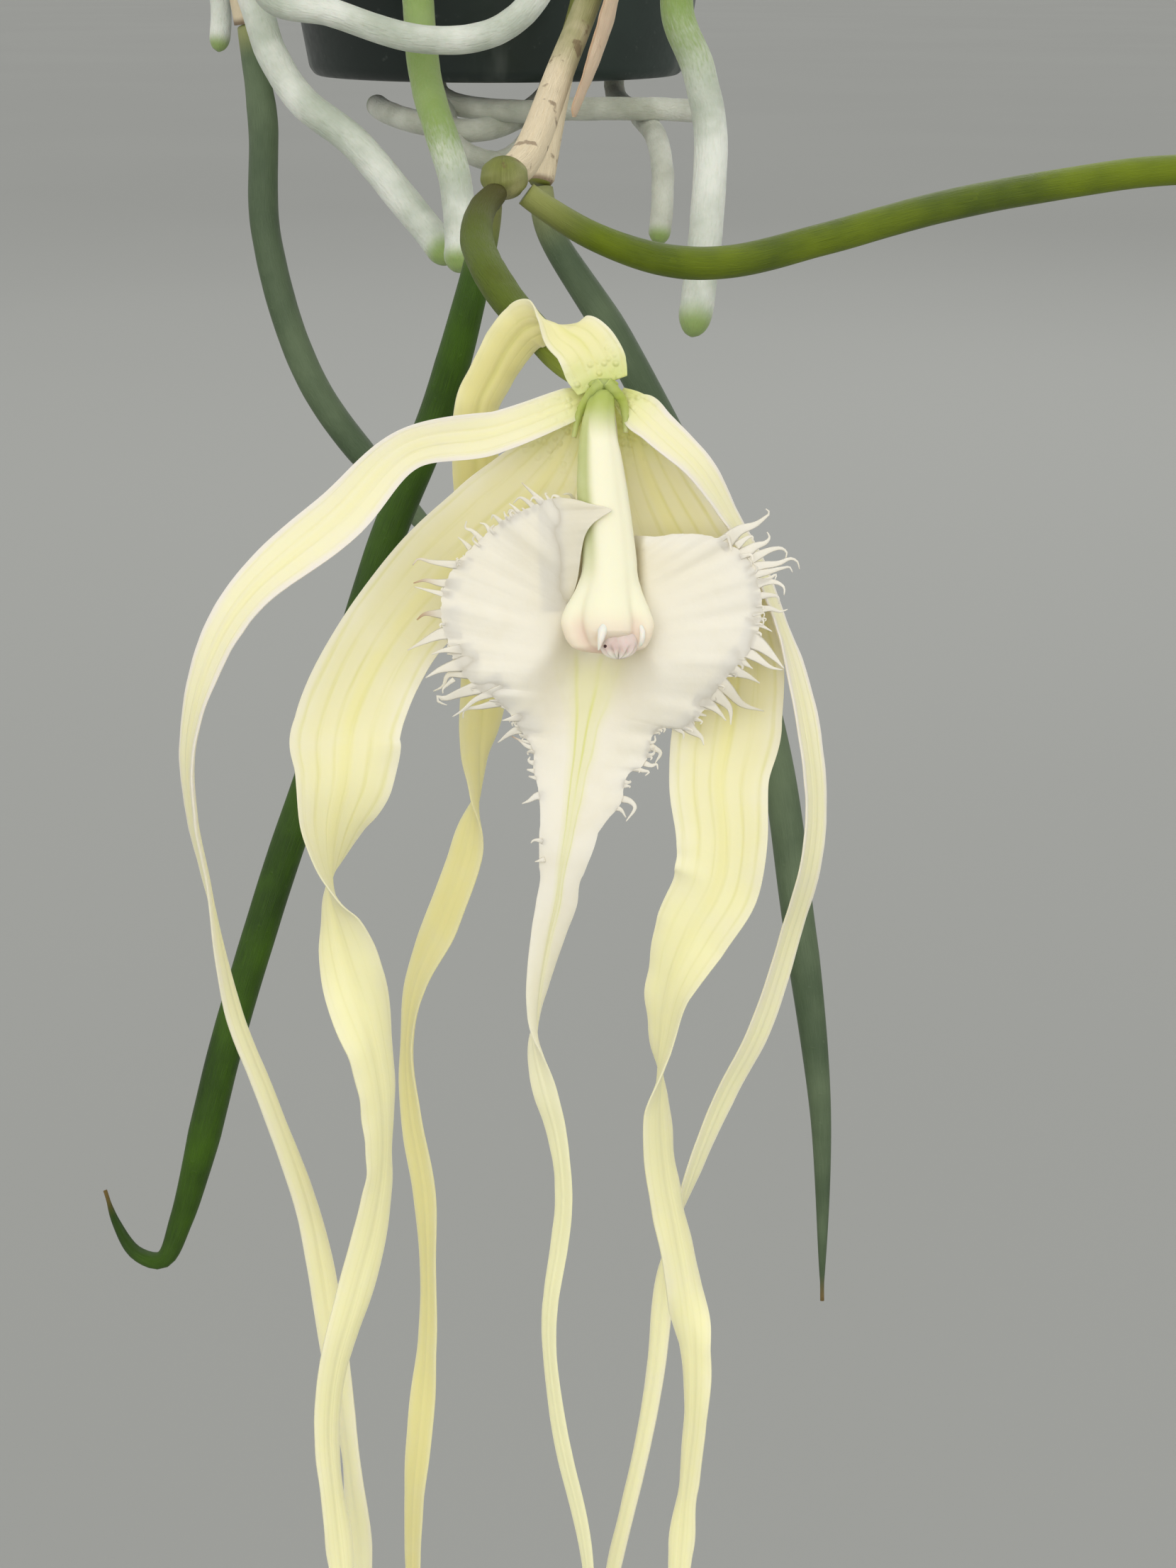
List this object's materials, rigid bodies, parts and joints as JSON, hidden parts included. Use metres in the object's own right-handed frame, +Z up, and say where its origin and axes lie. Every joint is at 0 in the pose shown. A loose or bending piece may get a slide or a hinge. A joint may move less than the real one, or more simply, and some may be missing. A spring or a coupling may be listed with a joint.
{
  "type": "potted orchid in flower",
  "caption": "Hanging potted Brassavola cucullata: one flower with long twisted tails and a fringed lip, terete leaves, aerial roots, plastic pot and wire hanger.",
  "frame": {"origin": "inside of the hook's crown, where a rail bears", "axes": "+Z up along the way the pot hangs, -Y towards the viewer and the flower, +X to the viewer's right"},
  "size_m": [0.2166, 0.2359, 0.3149],
  "materials": {
    "petal": "waxy cream-white petal, matt, translucent",
    "sepal": "waxy pale yellow sepal with fine veins",
    "lip": "white, finely ribbed, fringed lip",
    "column": "smooth waxy column, pink at its tip",
    "anther": "pale pink cap",
    "pedicel": "olive green stalk",
    "stem": "green stem in papery sheaths",
    "sheath": "dry tan sheath",
    "leaf": "round, grooved, satin green leaf",
    "root": "white velvety root with green tip",
    "pot": "dark green-black moulded plastic",
    "bark": "coarse bark chips",
    "wire": "galvanised wire"
  },
  "bodies": {
    "root": {"sepal_dorsal": "sepal", "sepal_left": "sepal", "sepal_right": "sepal", "petal_left": "petal", "petal_right": "petal", "lip": "lip", "column": "column", "anther_cap": "anther", "pedicel": "pedicel", "stem_flowering": "stem", "leaf_olive": "leaf", "leaf_main": "leaf", "sheath_loose": "sheath", "stem_front": "stem", "leaf_front": "leaf", "stem_left": "stem", "leaf_left": "leaf", "stem_right": "stem", "leaf_right": "leaf", "stem_back_right": "stem", "leaf_back_right": "leaf", "stem_back_left": "stem", "leaf_back_left": "leaf", "stem_left_side": "stem", "leaf_left_side": "leaf", "stem_young": "stem", "leaf_young": "leaf", "root_loop": "root", "root_slanting": "root", "root_green": "root", "root_right": "root", "root_left": "root", "roots_base": "root", "pot": "pot", "bark": "bark", "hanger": "wire"}
  },
  "joints": []
}
